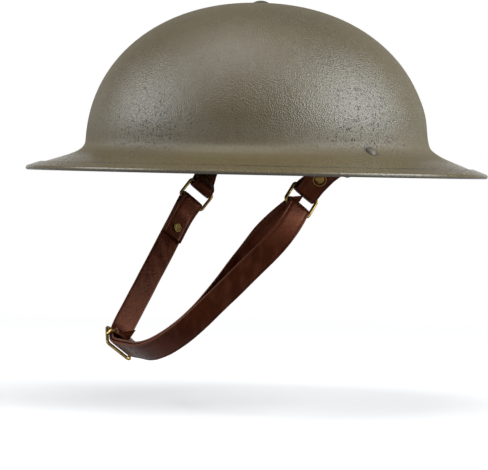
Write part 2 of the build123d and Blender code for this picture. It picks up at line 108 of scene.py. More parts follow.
# The rings, tabs and bails that it hangs from, and the buckle.
ring_reach = 0.082
ring_y = -0.0114
ring_z = -0.0218
ring_pitch = 0.013
ring_tilt = radians(8.8)
play_radius = 0.0023
fold_sag = 0.0003
fold_radius = play_radius + strap_sheet / 2
tab_pitch = 0.0247
tab_tilt = radians(-34.6)
tab_skew = 0.0011
tab_sheet = 0.002
buckle_angle = radians(32)
buckle_wire = 0.0011
loop_play = 0.0003
loop_tail_angle = radians(30)

# Leather is drawn a little thinner than its solid, so that its waves stay clear of the wires.
strap_thickness = strap_sheet * 0.93
tab_thickness = tab_sheet * 0.96
strap_crease = 0.0018
tab_crease = 0.0016
strap_mesh = 0.0009
tab_mesh = 0.001

# Colours, as the photograph's plain light shows them, in linear light.
olive = (0.096, 0.076, 0.033, 1)
olive_brown = (0.088, 0.065, 0.024, 1)
olive_grey = (0.130, 0.115, 0.072, 1)
brim_brown = (0.108, 0.078, 0.027, 1)
# The dark colour of bare metal, which also serves as painted shade in the paint's pits, round its rivets and
# under the brim's edge.
bare_metal_and_shade = (0.022, 0.019, 0.015, 1)
rust = (0.055, 0.030, 0.016, 1)
steel_grey = (0.26, 0.25, 0.22, 1)
brass = (0.60, 0.41, 0.13, 1)
brass_dark = (0.125, 0.066, 0.019, 1)
chestnut = (0.058, 0.0100, 0.0024, 1)
chestnut_dark = (0.020, 0.0032, 0.0012, 1)
# A paler red-brown for smears in the leather, also used as a painted highlight at the strap's fold and low
# end.
smear_and_highlight = (0.150, 0.046, 0.024, 1)
# Paler leather of the cut edges, with a painted sheen in it.
pale_edge_and_sheen = (0.150, 0.062, 0.034, 1)


# Shader helpers.

def feed(tree, node, feeds):
    """Gives a node's inputs their values or links."""
    for name, value in feeds.items():
        if isinstance(value, bpy.types.NodeSocket):
            tree.links.new(value, node.inputs[name])
        else:
            node.inputs[name].default_value = value


def put(tree, kind, feeds=None, **settings):
    """One shader node: settings are its own choices, feeds are for its inputs."""
    made = tree.nodes.new("ShaderNode" + kind)
    for name, value in settings.items():
        setattr(made, name, value)
    feed(tree, made, feeds or {})
    return made


def blend_colour(tree, share, first, second):
    return put(tree, "Mix", {0: share, 6: first, 7: second}, data_type="RGBA").outputs[2]


def reckon(tree, way, first, second=0.5, clamp=False):
    return put(tree, "Math", {0: first, 1: second}, operation=way, use_clamp=clamp).outputs[0]


def times(tree, first, second):
    return reckon(tree, "MULTIPLY", first, second)


def plus(tree, first, second):
    return reckon(tree, "ADD", first, second)


def less(tree, first, second):
    return reckon(tree, "SUBTRACT", first, second)


def larger(tree, first, second):
    return reckon(tree, "MAXIMUM", first, second)


def gap_from(tree, value, middle):
    """How far a value is from a middle, on either side of it."""
    return reckon(tree, "ABSOLUTE", less(tree, value, middle))


def spread(tree, value, low, high, to_low=0.0, to_high=1.0):
    """A value's place between low and high, laid out between two others and held there."""
    feeds = {"Value": value, "From Min": low, "From Max": high, "To Min": to_low, "To Max": to_high}
    return put(tree, "MapRange", feeds).outputs[0]


def on_vector(tree, way, first, second=(0.0, 0.0, 0.0)):
    return put(tree, "VectorMath", {0: first, 1: second}, operation=way).outputs


def height_of(tree, place):
    return put(tree, "SeparateXYZ", {"Vector": place}).outputs["Z"]


def clouds(tree, place, lumps, detail=2.0, roughness=0.5, distortion=0.0):
    """Soft noise with a number of lumps a metre."""
    feeds = {"Vector": place, "Scale": lumps, "Detail": detail, "Roughness": roughness,
             "Distortion": distortion}
    return put(tree, "TexNoise", feeds).outputs


def stirred(tree, place, lumps, reach):
    """A place moved about by noise, so that a pattern on it loses its straight edges."""
    shift = on_vector(tree, "MULTIPLY", clouds(tree, place, lumps)["Color"], (reach, reach, reach))[0]
    return on_vector(tree, "ADD", place, shift)[0]


def turned(tree, place, turn, scale=(1.0, 1.0, 1.0)):
    return put(tree, "Mapping", {"Vector": place, "Rotation": turn, "Scale": scale}).outputs[0]


def share_near(tree, coords, spots):
    """The largest share of some spots: (middle, reach it is full to, reach it is gone at, strength)."""
    shares = []
    for middle, full, gone, strength in spots:
        gap = on_vector(tree, "DISTANCE", coords, middle)["Value"]
        shares.append(spread(tree, gap, full, gone, strength, 0.0))
    most = shares[0]
    for share in shares[1:]:
        most = larger(tree, most, share)
    return most


def new_group(name, inputs, outputs):
    """A shared effect: its inputs are (name, value), with None for a vector."""
    tree = bpy.data.node_groups.new(name, "ShaderNodeTree")
    for label, value in inputs:
        kind = "NodeSocketVector" if value is None else "NodeSocketFloat"
        socket = tree.interface.new_socket(label, in_out="INPUT", socket_type=kind)
        if value is not None:
            socket.default_value = value
    for label in outputs:
        tree.interface.new_socket(label, in_out="OUTPUT", socket_type="NodeSocketFloat")
    return tree, tree.nodes.new("NodeGroupInput").outputs, tree.nodes.new("NodeGroupOutput").inputs


def use_group(tree, group, feeds):
    made = tree.nodes.new("ShaderNodeGroup")
    made.node_tree = group
    feed(tree, made, feeds)
    return made.outputs


def new_material(name):
    made = bpy.data.materials.new(name)
    made.use_nodes = True
    tree = made.node_tree
    coords = put(tree, "TexCoord").outputs["Object"]
    return made, tree, tree.nodes["Principled BSDF"].inputs, coords


def raise_surface(tree, shader, height, strength, distance):
    bump = put(tree, "Bump", {"Height": height, "Strength": strength, "Distance": distance}).outputs[0]
    tree.links.new(bump, shader["Normal"])


# Shared effects.

def make_grain_group():
    """Sand grain under paint: rounded grains of about a millimetre and finer grit between them."""
    tree, given, out = new_group("sand_grain", [("Place", None), ("Grains", 620.0)], ["Height", "Grit"])
    place = stirred(tree, given["Place"], 600.0, 0.0008)
    feeds = {"Vector": place, "Scale": given["Grains"], "Smoothness": 0.25, "Randomness": 1.0}
    cells = put(tree, "TexVoronoi", feeds, feature="SMOOTH_F1").outputs["Distance"]
    dome = spread(tree, cells, 0.0, 0.65, 1.0, 0.0)
    lumps = clouds(tree, place, 950.0, roughness=0.6)["Fac"]
    grit = clouds(tree, place, 1500.0, detail=3.0, roughness=0.7)["Fac"]
    mixed = plus(tree, times(tree, dome, 0.75), times(tree, lumps, 0.40))
    tree.links.new(plus(tree, mixed, times(tree, grit, 0.25)), out["Height"])
    tree.links.new(grit, out["Grit"])
    return tree


def make_wear_group():
    """Specks where paint has gone: one flake in some cells of a pattern. Amount is the share of cells."""
    inputs = [("Place", None), ("Amount", 0.3), ("Flakes", 420.0)]
    tree, given, out = new_group("worn_specks", inputs, ["Mask", "Rim"])
    place = stirred(tree, given["Place"], 700.0, 0.0016)
    cell = put(tree, "TexVoronoi", {"Vector": place, "Scale": given["Flakes"]}).outputs
    chance = put(tree, "SeparateColor", {"Color": cell["Color"]}).outputs
    kept = spread(tree, less(tree, given["Amount"], chance["Red"]), 0.0, 0.02)
    reach = spread(tree, chance["Green"], 0.0, 1.0, 0.16, 0.42)
    inside = less(tree, reach, cell["Distance"])
    tree.links.new(times(tree, kept, spread(tree, inside, 0.0, 0.08)), out["Mask"])
    tree.links.new(times(tree, kept, spread(tree, inside, -0.16, 0.0)), out["Rim"])
    return tree


def make_mottle_group():
    """Slow changes of tone over a surface, and smears that run upward."""
    tree, given, out = new_group("mottle", [("Place", None), ("Size", 14.0)], ["Tone", "Smear"])
    tone = clouds(tree, given["Place"], given["Size"], detail=5.0, roughness=0.55, distortion=0.4)["Fac"]
    upright = turned(tree, given["Place"], (0, 0, 0), (1.0, 1.0, 0.25))
    smear = clouds(tree, upright, times(tree, given["Size"], 5.0), detail=4.0)["Fac"]
    tree.links.new(spread(tree, tone, 0.32, 0.68), out["Tone"])
    tree.links.new(spread(tree, smear, 0.35, 0.65), out["Smear"])
    return tree


def make_leather_group():
    """Leather's grain: fine pores, and creases that run across the strap."""
    inputs = [("Place", None), ("Pores", 1400.0)]
    tree, given, out = new_group("leather_grain", inputs, ["Height", "Creases"])
    pores = put(tree, "TexVoronoi", {"Vector": given["Place"], "Scale": given["Pores"]}).outputs["Distance"]
    fine = clouds(tree, given["Place"], 2600.0, detail=3.0)["Fac"]
    along = turned(tree, given["Place"], (0.66, 0, 0), (1.0, 0.35, 1.0))
    crease = clouds(tree, along, 230.0, detail=4.0, roughness=0.6, distortion=0.6)["Fac"]
    crack = spread(tree, gap_from(tree, crease, 0.5), 0.0, 0.05)
    height = plus(tree, times(tree, pores, 0.5), times(tree, fine, 0.4))
    tree.links.new(plus(tree, height, times(tree, crack, 0.5)), out["Height"])
    tree.links.new(crack, out["Creases"])
    return tree


def make_tarnish_group():
    """Handled metal: dull clouds and fine scuffs."""
    inputs = [("Place", None), ("Spread", 0.5)]
    tree, given, out = new_group("tarnish", inputs, ["Cloud", "Scuffs", "Height"])
    cloud = clouds(tree, given["Place"], 170.0, detail=5.0, roughness=0.6)["Fac"]
    edge = less(tree, 0.75, times(tree, given["Spread"], 0.5))
    tree.links.new(spread(tree, less(tree, cloud, edge), -0.12, 0.12), out["Cloud"])
    scuff = clouds(tree, given["Place"], 1900.0, detail=4.0)["Fac"]
    tree.links.new(scuff, out["Scuffs"])
    tree.links.new(plus(tree, scuff, cloud), out["Height"])
    return tree


def make_cloth_group():
    """Two sets of threads, over and under, at a given number of threads a metre."""
    tree, given, out = new_group("weave", [("Place", None), ("Threads", 1800.0)], ["Height", "Fuzz"])
    waves = []
    for turn in (0.0, pi / 2):
        feeds = {"Vector": turned(tree, given["Place"], (0, turn, turn)),
                 "Scale": times(tree, given["Threads"], 0.3), "Distortion": 1.5, "Detail": 1.0}
        waves.append(put(tree, "TexWave", feeds).outputs["Fac"])
    fuzz = clouds(tree, given["Place"], 1100.0, detail=5.0, roughness=0.75)["Fac"]
    weave = times(tree, times(tree, *waves), 0.5)
    tree.links.new(plus(tree, weave, times(tree, fuzz, 0.6)), out["Height"])
    tree.links.new(fuzz, out["Fuzz"])
    return tree


grain_group = make_grain_group()
wear_group = make_wear_group()
mottle_group = make_mottle_group()
leather_group = make_leather_group()
tarnish_group = make_tarnish_group()
cloth_group = make_cloth_group()


# Materials.

def middle_of(name):
    spots = [vertex.co for vertex in node_of[name].data.vertices]
    return sum(spots, Vector()) / len(spots)


# Places on the shell where the paint is rubbed through: middle, reaches and strength.
rubbed_places = [((0.0514, -0.0984, 0.0262), 0.0, 0.034, 0.85), ((0.0964, 0.0275, 0.0432), 0.0, 0.040, 0.90),
                 ((0.0944, 0.0432, 0.0315), 0.0, 0.026, 0.85), ((0.0504, 0.0039, 0.1000), 0.0, 0.038, 0.80),
                 ((0.0845, 0.0156, 0.0714), 0.0, 0.034, 0.70)]

# Painted shadow round each rivet's head, and a darker line along the folded strip on the brim.
rivet_shadow_places = [(middle, reach * 0.75, reach, 0.45) for middle, reach in
                ((middle_of("left_lug_rivet"), 0.0062), (middle_of("right_lug_rivet"), 0.0062),
                 (Vector((0, 0, crown_top)), 0.0085))]
strip_line_x = 0.1362
strip_line_y = 0.1437
strip_line = 0.994


def make_paint(name, edge_wear):
    """Sand-grained olive paint: rough on the bowl, smoother and browner on the brim, rubbed in places."""
    made, tree, shader, coords = new_material(name)
    height = height_of(tree, coords)
    tone = use_group(tree, mottle_group, {"Place": coords, "Size": 11.0})
    dust = use_group(tree, mottle_group, {"Place": coords, "Size": 45.0})
    grain = use_group(tree, grain_group, {"Place": coords, "Grains": 980.0})
    rubbed = share_near(tree, coords, rubbed_places)
    amount = reckon(tree, "ADD", rubbed, edge_wear, True)
    worn = use_group(tree, wear_group, {"Place": coords, "Amount": amount, "Flakes": 520.0})

    # Olive that turns brown toward the brim, with grey dust on it.
    brim = spread(tree, height, 0.004, 0.026, 0.75, 0.0)
    colour = blend_colour(tree, tone["Tone"], olive, olive_brown)
    colour = blend_colour(tree, brim, colour, brim_brown)
    colour = blend_colour(tree, times(tree, dust["Smear"], 0.25), colour, olive_grey)

    # Painted shade in the hollows between the grains, strongest where the paint is rubbed, and flakes with
    # pale rims.
    pits = times(tree, spread(tree, grain["Height"], 0.26, 0.45, 1.0, 0.0),
                 plus(tree, times(tree, rubbed, 0.9), 0.22))
    colour = blend_colour(tree, pits, colour, bare_metal_and_shade)
    colour = blend_colour(tree, times(tree, worn["Rim"], 0.3), colour, olive_grey)
    colour = blend_colour(tree, times(tree, worn["Mask"], 0.75), colour, bare_metal_and_shade)

    # A darker broken line beside the strip, painted shadow round the rivets' heads, and painted shade on the
    # underside.
    oval = on_vector(tree, "MULTIPLY", coords, (1 / strip_line_x, 1 / strip_line_y, 0))[0]
    reach = on_vector(tree, "LENGTH", oval)["Value"]
    line = times(tree, spread(tree, gap_from(tree, reach, strip_line), 0.003, 0.008, 1.0, 0.0),
                 spread(tree, dust["Tone"], 0.25, 0.6, 0.35, 1.0))
    line_and_rivet_shadow = larger(tree, line, share_near(tree, coords, rivet_shadow_places))
    # Painted shade under the brim's edge.
    under = spread(tree, height, -0.0008, 0.0002, 0.75, 0.0)
    colour = blend_colour(tree, larger(tree, line_and_rivet_shadow, under), colour, bare_metal_and_shade)
    tree.links.new(colour, shader["Base Color"])

    # The brim is smoothest and the flare above it roughest. Pits, flakes and grazing views are dull.
    rough = less(tree, spread(tree, grain["Grit"], 0.3, 0.7, 0.28, 0.38), times(tree, brim, 0.17))
    flare = times(tree, spread(tree, height, 0.008, 0.014), spread(tree, height, 0.022, 0.034, 0.30, 0.0))
    dull = larger(tree, spread(tree, grain["Height"], 0.24, 0.46, 0.24, 0.0), times(tree, worn["Mask"], 0.4))
    facing = put(tree, "LayerWeight", {"Blend": 0.5}).outputs["Facing"]
    graze = times(tree, spread(tree, facing, 0.55, 0.92, 0.0, 0.3), spread(tree, height, 0.014, 0.026))
    rough = plus(tree, plus(tree, rough, flare), larger(tree, dull, graze))
    tree.links.new(rough, shader["Roughness"])
    shader["Specular IOR Level"].default_value = 0.9

    level = less(tree, grain["Height"], times(tree, worn["Mask"], 0.30))
    raise_surface(tree, shader, level, spread(tree, height, 0.016, 0.034, 0.30, 1.0), 0.00023)
    return made


def make_leather(name):
    """Chestnut leather with a creased line beside each edge, paler smears, and a painted highlight at the
    fold and at the low end.
    """
    made, tree, shader, coords = new_material(name)
    tone = use_group(tree, mottle_group, {"Place": coords, "Size": 30.0})
    skin = use_group(tree, leather_group, {"Place": coords, "Pores": 1300.0})
    flat = put(tree, "SeparateXYZ", {"Vector": put(tree, "UVMap", uv_map="flat").outputs[0]}).outputs
    across = reckon(tree, "ABSOLUTE", flat["Y"])
    edge = spread(tree, across, strap_width / 2 - 0.0005, strap_width / 2 - 0.0001)
    groove = spread(tree, gap_from(tree, across, strap_width / 2 - strap_crease), 0.0001, 0.0005, 0.75, 0.0)

    colour = blend_colour(tree, tone["Tone"], chestnut, chestnut_dark)
    colour = blend_colour(tree, spread(tree, skin["Creases"], 0.0, 1.0, 0.45, 0.0), colour, chestnut_dark)
    colour = blend_colour(tree, groove, colour, chestnut_dark)
    # Paler cut edges, with a painted sheen along them.
    colour = blend_colour(tree, times(tree, edge, 0.55), colour, pale_edge_and_sheen)

    height = height_of(tree, coords)
    # Paler smears in the leather's tone, and a painted highlight round the fold and at the low end.
    smear = times(tree, spread(tree, tone["Smear"], 0.45, 1.0), 0.25)
    fold = spread(tree, gap_from(tree, height, -0.031), 0.004, 0.016, 0.50, 0.0)
    low_end_highlight = spread(tree, height, -0.114, -0.102, 0.35, 0.0)
    rubbed = larger(tree, smear, larger(tree, fold, low_end_highlight))
    tree.links.new(blend_colour(tree, rubbed, colour, smear_and_highlight), shader["Base Color"])

    rough = spread(tree, tone["Smear"], 0.0, 1.0, 0.24, 0.36)
    tree.links.new(plus(tree, rough, times(tree, edge, 0.2)), shader["Roughness"])
    shader["Specular IOR Level"].default_value = 0.32
    shader["Specular Tint"].default_value = (1.0, 0.36, 0.19, 1)
    raise_surface(tree, shader, skin["Height"], 0.20, 0.0002)
    return made


def make_metal(name, bright, dark, cover, roughness, metallic=1.0, dull_above=None):
    """Handled metal, which may be duller above a height."""
    made, tree, shader, coords = new_material(name)
    skin = use_group(tree, tarnish_group, {"Place": coords, "Spread": cover})
    shade = skin["Cloud"]
    if dull_above is not None:
        dulled = spread(tree, height_of(tree, coords), dull_above - 0.008, dull_above, 0.0, 0.8)
        shade = larger(tree, shade, dulled)
    tree.links.new(blend_colour(tree, shade, bright, dark), shader["Base Color"])
    shader["Metallic"].default_value = metallic
    rough = spread(tree, skin["Scuffs"], 0.3, 0.7, roughness - 0.08, roughness + 0.12)
    tree.links.new(rough, shader["Roughness"])
    raise_surface(tree, shader, skin["Height"], 0.15, 0.0001)
    return made


def make_cloth(name, first, second, threads, roughness, relief, sheen=0.0):
    made, tree, shader, coords = new_material(name)
    skin = use_group(tree, cloth_group, {"Place": coords, "Threads": threads})
    tone = use_group(tree, mottle_group, {"Place": coords, "Size": 60.0})
    colour = blend_colour(tree, tone["Tone"], first, second)
    colour = blend_colour(tree, spread(tree, skin["Fuzz"], 0.3, 0.7, 0.45, 0.0), colour, second)
    tree.links.new(colour, shader["Base Color"])
    shader["Roughness"].default_value = roughness
    shader["Sheen Weight"].default_value = sheen
    raise_surface(tree, shader, skin["Height"], relief, 0.0004)
    return made


materials = {
    "olive_paint": make_paint("olive_paint", edge_wear=0.06),
    "edge_paint": make_paint("edge_paint", edge_wear=0.34),
    "lining_steel": make_metal("lining_steel", steel_grey, bare_metal_and_shade, cover=0.6, roughness=0.5,
                               metallic=0.6),
    "bail_steel": make_metal("bail_steel", steel_grey, rust, cover=0.45, roughness=0.42),
    "brass": make_metal("brass", brass, brass_dark, cover=0.35, roughness=0.28, dull_above=-0.010),
    "ring_brass": make_metal("ring_brass", brass, brass_dark, cover=0.5, roughness=0.30),
    "strap_leather": make_leather("strap_leather"),
    "tab_leather": make_leather("tab_leather"),
}

# Two colours, threads a metre, roughness, relief and sheen.
cloths = {
    "grey_felt": ((0.12, 0.105, 0.088, 1), (0.055, 0.048, 0.042, 1), 900.0, 0.95, 0.8, 0.4),
    "black_oilcloth": ((0.012, 0.011, 0.010, 1), (0.028, 0.024, 0.020, 1), 2200.0, 0.34, 0.12),
    "buffer_rubber": ((0.034, 0.024, 0.019, 1), (0.018, 0.014, 0.012, 1), 600.0, 0.62, 0.1),
    "net_twine": ((0.42, 0.34, 0.22, 1), (0.22, 0.17, 0.10, 1), 2400.0, 0.85, 0.5, 0.2),
    "draw_cord": ((0.48, 0.40, 0.28, 1), (0.26, 0.21, 0.14, 1), 2400.0, 0.85, 0.5, 0.2),
}
for name, finish in cloths.items():
    materials[name] = make_cloth(name, *finish)
for row in frame["record"]["subparts"]:
    mesh = node_of[row["node"]].data
    mesh.materials.clear()
    mesh.materials.append(materials[row["material_slot"]])


# Modelling helpers.

def deselect():
    bpy.ops.object.select_all(action="DESELECT")


def only(piece):
    deselect()
    piece.select_set(True)
    bpy.context.view_layer.objects.active = piece


def edit(piece, picked="SELECT"):
    """Edit mode on one piece, with all or nothing of it selected."""
    only(piece)
    bpy.ops.object.mode_set(mode="EDIT")
    bpy.ops.mesh.select_mode(type="VERT")
    bpy.ops.mesh.select_all(action=picked)


def leave_edit():
    bpy.ops.object.mode_set(mode="OBJECT")


def stretch(piece, shares):
    """Scales a piece's mesh from the origin; a share of -1 mirrors it."""
    edit(piece)
    bpy.ops.transform.resize(value=shares, center_override=(0, 0, 0))
    leave_edit()


def bake_place(piece):
    """Moves a piece's place, turn and size into its mesh."""
    only(piece)
    bpy.ops.object.transform_apply(location=True, rotation=True, scale=True)


def modify(piece, kind, **settings):
    """Adds a modifier to a piece and applies it."""
    only(piece)
    made = piece.modifiers.new(kind.lower(), kind)
    for name, value in settings.items():
        setattr(made, name, value)
    bpy.ops.object.modifier_apply(modifier=made.name)


weld_gap = 0.000005


def settle(piece, name, slot, body, *nodes, mend=False, angle=40):
    """A finished piece: its normals, finish and body, and the CAD nodes it stands for."""
    bake_place(piece)
    if mend:
        edit(piece)
        bpy.ops.mesh.remove_doubles(threshold=weld_gap)
        bpy.ops.mesh.normals_make_consistent(inside=False)
        leave_edit()
    bpy.ops.object.shade_smooth_by_angle(angle=radians(angle))
    piece.name = name
    piece.data.name = name
    piece.data.materials.clear()
    piece.data.materials.append(materials[slot])
    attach(piece, body)
    if nodes:
        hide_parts(*nodes)
    return piece


# The strap's plane and paths, as in the part's source.

up_strap = Vector((0, sin(strap_lean), cos(strap_lean)))
wide_strap = Vector((0, -cos(strap_lean), sin(strap_lean)))
strap_place = Matrix(((1, 0, 0, 0), (0, up_strap.y, wide_strap.y, ring_y),
                      (0, up_strap.z, wide_strap.z, ring_z), (0, 0, 0, 1)))


def touch(first, second):
    """Heading of the straight run between two circles (x, y, radius); a radius over 0 is passed clockwise."""
    gap = hypot(second[0] - first[0], second[1] - first[1])
    swing = asin(max(-1.0, min(1.0, (second[2] - first[2]) / gap)))
    return atan2(second[1] - first[1], second[0] - first[0]) + swing


def beside(circle, heading):
    """The spot on a circle where a straight run with this heading touches it."""
    return (circle[0] - circle[2] * sin(heading), circle[1] + circle[2] * cos(heading))


def path_round(circles, step=0.001):
    """Spots along the path that runs straight between circles and bends round them."""
    headings = [touch(a, b) for a, b in zip(circles, circles[1:])]
    spots = [beside(circles[0], headings[0])]
    for circle, heading, onward in zip(circles[1:], headings, headings[1:] + headings[-1:]):
        first, last = spots[-1], beside(circle, heading)
        count = max(1, round(hypot(last[0] - first[0], last[1] - first[1]) / step))
        spots += [(first[0] + (last[0] - first[0]) * i / count, first[1] + (last[1] - first[1]) * i / count)
                  for i in range(1, count + 1)]
        way = 1 if circle[2] > 0 else -1
        turn = (way * (heading - onward)) % (2 * pi)
        if radians(0.1) < turn < radians(359.9):
            count = max(3, round(turn * abs(circle[2]) / step * 1.5))
            spots += [beside(circle, heading - way * turn * i / count) for i in range(1, count + 1)]
    return spots


def path_length(spots):
    return sum(hypot(b[0] - a[0], b[1] - a[1]) for a, b in zip(spots, spots[1:]))


crease_depth = 0.00028
crease_half = 0.00045
edge_drop = 0.00012


def make_flat_strap(length, width, thick, step, crease):
    """A strap laid flat along X, grain side to +Y: rounded edges, and a creased line beside each edge."""
    deselect()
    bpy.ops.mesh.primitive_plane_add(size=1)
    strap = bpy.context.object
    edit(strap)
    bpy.ops.transform.rotate(value=pi / 2, orient_axis="Y", center_override=(0, 0, 0))
    bpy.ops.transform.resize(value=(1, thick, width))
    bpy.ops.mesh.bevel(offset=thick * 0.3, segments=3, affect="VERTICES")
    cuts = [side * (width / 2 - crease + shift * crease_half) for side in (-1, 1) for shift in (-1, 0, 1)]
    for cut in cuts + [width * share for share in (-0.24, -0.08, 0.08, 0.24)]:
        bpy.ops.mesh.select_all(action="SELECT")
        bpy.ops.mesh.bisect(plane_co=(0, 0, cut), plane_no=(0, 0, 1))
    mesh = bmesh.from_edit_mesh(strap.data)
    for vertex in mesh.verts:
        out = abs(vertex.co.z) - (width / 2 - crease)
        if vertex.co.y > 0 and abs(out) < crease_half / 2:
            vertex.co.y -= crease_depth
        elif vertex.co.y > 0 and out > 0:
            vertex.co.y -= edge_drop
    bpy.ops.mesh.select_all(action="SELECT")
    bpy.ops.mesh.extrude_region_move(TRANSFORM_OT_translate={"value": (length, 0, 0)})
    bpy.ops.mesh.select_mode(type="EDGE")
    for _ in range(2):
        mesh = bmesh.from_edit_mesh(strap.data)
        for edge in mesh.edges:
            edge.select = abs(edge.verts[0].co.x - edge.verts[1].co.x) > step / 2
        bmesh.update_edit_mesh(strap.data)
        bpy.ops.mesh.subdivide(number_cuts=max(1, round((length / step) ** 0.5) - 1))
    bpy.ops.mesh.select_all(action="SELECT")
    bpy.ops.mesh.normals_make_consistent(inside=False)
    leave_edit()
    return strap


def number_flat(piece):
    """Keeps each corner's place on the flat strap, along and across, as its UV."""
    flat = piece.data.uv_layers.new(name="flat").data
    for loop in piece.data.loops:
        spot = piece.data.vertices[loop.vertex_index].co
        flat[loop.index].uv = (spot.x, spot.z)


def punch(piece, along, across, radius):
    """A round hole through a flat strap."""
    deselect()
    bpy.ops.mesh.primitive_cylinder_add(vertices=20, radius=radius, depth=0.02, location=(along, 0, across),
                                        rotation=(pi / 2, 0, 0))
    cutter = bpy.context.object
    modify(piece, "BOOLEAN", object=cutter, operation="DIFFERENCE", solver="EXACT")
    bpy.data.objects.remove(cutter)


def slacken(piece, lift, sway, seed):
    """Small waves of used leather, out of its plane and along its edges."""
    for vertex in piece.data.vertices:
        along = Vector((vertex.co.x * 45, vertex.co.z * 60, seed))
        vertex.co.y += lift * noise.noise(along)
        vertex.co.z += sway * noise.noise(Vector((vertex.co.x * 70, seed, vertex.co.z * 20)))


def bend_along(piece, spots):
    """Bends a flat strap along spots in the strap's plane."""
    deselect()
    bpy.ops.curve.primitive_bezier_curve_add(location=(0, 0, 0))
    path = bpy.context.object
    path.data.dimensions = "2D"
    path.data.splines.clear()
    line = path.data.splines.new("POLY")
    line.points.add(len(spots) - 1)
    for point, spot in zip(line.points, spots):
        point.co = (spot[0], spot[1], 0, 1)
    modify(piece, "CURVE", object=path, deform_axis="POS_X")
    bpy.data.objects.remove(path)


left_bar = (ring_reach, 0.0)
left_fold = (ring_reach, -fold_sag)
right_fold = (-ring_reach, -fold_sag)
near_bend = (0.0, near_radius - chin_drop)
far_bend = (-far_offset, far_radius - chin_drop)
cheek_bend = (cheek_reach + cheek_radius, -cheek_radius, -cheek_radius)


def fold_end():
    """Where both layers start: beside the left ring, on the run toward the cheek."""
    start = (*left_fold, -fold_radius)
    return (*beside(start, touch(start, cheek_bend)), 0.0)


def bulge_circle():
    """The strap's slack bend just below the left ring."""
    swing = atan2(bulge_radius - fold_radius, bulge_run)
    reach = hypot(bulge_radius - fold_radius, bulge_run)
    heading = bulge_angle - pi / 2 - swing
    return (left_fold[0] + reach * cos(heading), left_fold[1] + reach * sin(heading), bulge_radius)


def chin_circles():
    """The outer layer: over the left ring, round the chin, over the right ring and back on itself."""
    far, hook = (*far_bend, far_radius), (*right_fold, fold_radius)
    heading = touch(far, hook)
    outer = beside(hook, heading)
    along, inward = (-cos(heading), -sin(heading)), (sin(heading), -cos(heading))
    spots = [[outer[i] + run * along[i] + deep * inward[i] for i in (0, 1)]
             for run, deep in ((strap_tail / 2, layer_step + tail_radius), (strap_tail, layer_step))]
    return [fold_end(), (*left_fold, fold_radius), bulge_circle(), (*near_bend, near_radius), far, hook,
            (*spots[0], -tail_radius), (*spots[1], 0.0)]


def on_far_bend(radius, angle):
    return (far_bend[0] - radius * sin(angle), far_bend[1] - radius * cos(angle))


def return_circles():
    """The inner layer: down the left cheek, under the chin and looped round the buckle's bar."""
    bar_depth = strap_sheet / 2 + layer_step + loop_play + buckle_wire
    loop_radius = buckle_wire + loop_play + strap_sheet / 2
    back = far_radius - bar_depth - loop_radius
    return [fold_end(), cheek_bend, (*near_bend, near_radius - layer_step),
            (*far_bend, far_radius - layer_step),
            (*on_far_bend(far_radius - bar_depth, buckle_angle), loop_radius), (*far_bend, -back),
            (*on_far_bend(back, buckle_angle - loop_tail_angle), 0.0)]


def make_strap_layer(name, circles, seed, lift, holes=()):
    """One layer of the chin strap; holes are (along, across, radius)."""
    spots = path_round(circles)
    strap = make_flat_strap(path_length(spots), strap_width, strap_thickness, strap_mesh, strap_crease)
    for along, across, radius in holes:
        punch(strap, along, across, radius)
    number_flat(strap)
    slacken(strap, lift, sway=0.00025, seed=seed)
    bend_along(strap, spots)
    strap.matrix_world = strap_place
    return settle(strap, name + "_leather", "strap_leather", "strap", name, mend=True, angle=50)


def step_from(spot, pitch, tilt):
    """The next pivot of the chain, at a pitch and tilt from the last one."""
    return (spot[0] - pitch * sin(tilt), spot[1] + pitch * cos(tilt))


def toward(spot, other, reach):
    share = reach / hypot(other[0] - spot[0], other[1] - spot[1])
    return (spot[0] + (other[0] - spot[0]) * share, spot[1] + (other[1] - spot[1]) * share)


ring_top = step_from(left_bar, ring_pitch, ring_tilt)
bail_low = step_from(ring_top, tab_pitch, tab_tilt)
tab_neck = 0.0083
tab_neck_radius = 0.006


def make_tab(side, mirror):
    """A leather strip folded round both wires, its two layers riveted together between them."""
    low, high = toward(ring_top, bail_low, fold_sag), toward(bail_low, ring_top, fold_sag)
    run = Vector(high) - Vector(low)
    across = Vector((-run.y, run.x)).normalized()
    middle = (Vector(low) + Vector(high)) / 2
    half = tab_sheet / 2
    fold = play_radius + half

    def neck(spot, other, hand):
        place = Vector(toward(spot, other, tab_neck)) + across * hand * (half + tab_neck_radius)
        return (place.x, place.y, -tab_neck_radius)

    circles = [(middle.x, middle.y, half), neck(high, low, 1), (*high, fold), neck(high, low, -1),
               neck(low, high, -1), (*low, fold), neck(low, high, 1), (middle.x, middle.y, half)]
    spots = path_round(circles, tab_mesh / 2)
    tab = make_flat_strap(path_length(spots), strap_width - 0.0002, tab_thickness, tab_mesh, tab_crease)
    number_flat(tab)
    slacken(tab, lift=0.00012, sway=0.0002, seed=7.0)
    bend_along(tab, spots)
    start, reach = Vector(low), run.length_squared
    for vertex in tab.data.vertices:
        share = (Vector(vertex.co.xy) - start).dot(run) / reach
        vertex.co.z += tab_skew * share
    tab.matrix_world = strap_place
    bake_place(tab)
    if mirror:
        stretch(tab, (-1, 1, 1))
    name = side + "_tab"
    return settle(tab, name + "_leather", "tab_leather", name, name, mend=True, angle=50)


# The lining, as in the part's source.

def inner_semi(wall, height):
    """Half width of the shell's inside at a height in the bowl."""
    rise = (height - bowl_spring) / (bowl_height - sheet)
    return (wall - sheet) * (1 - rise ** bowl_fullness) ** (1 / bowl_fullness)


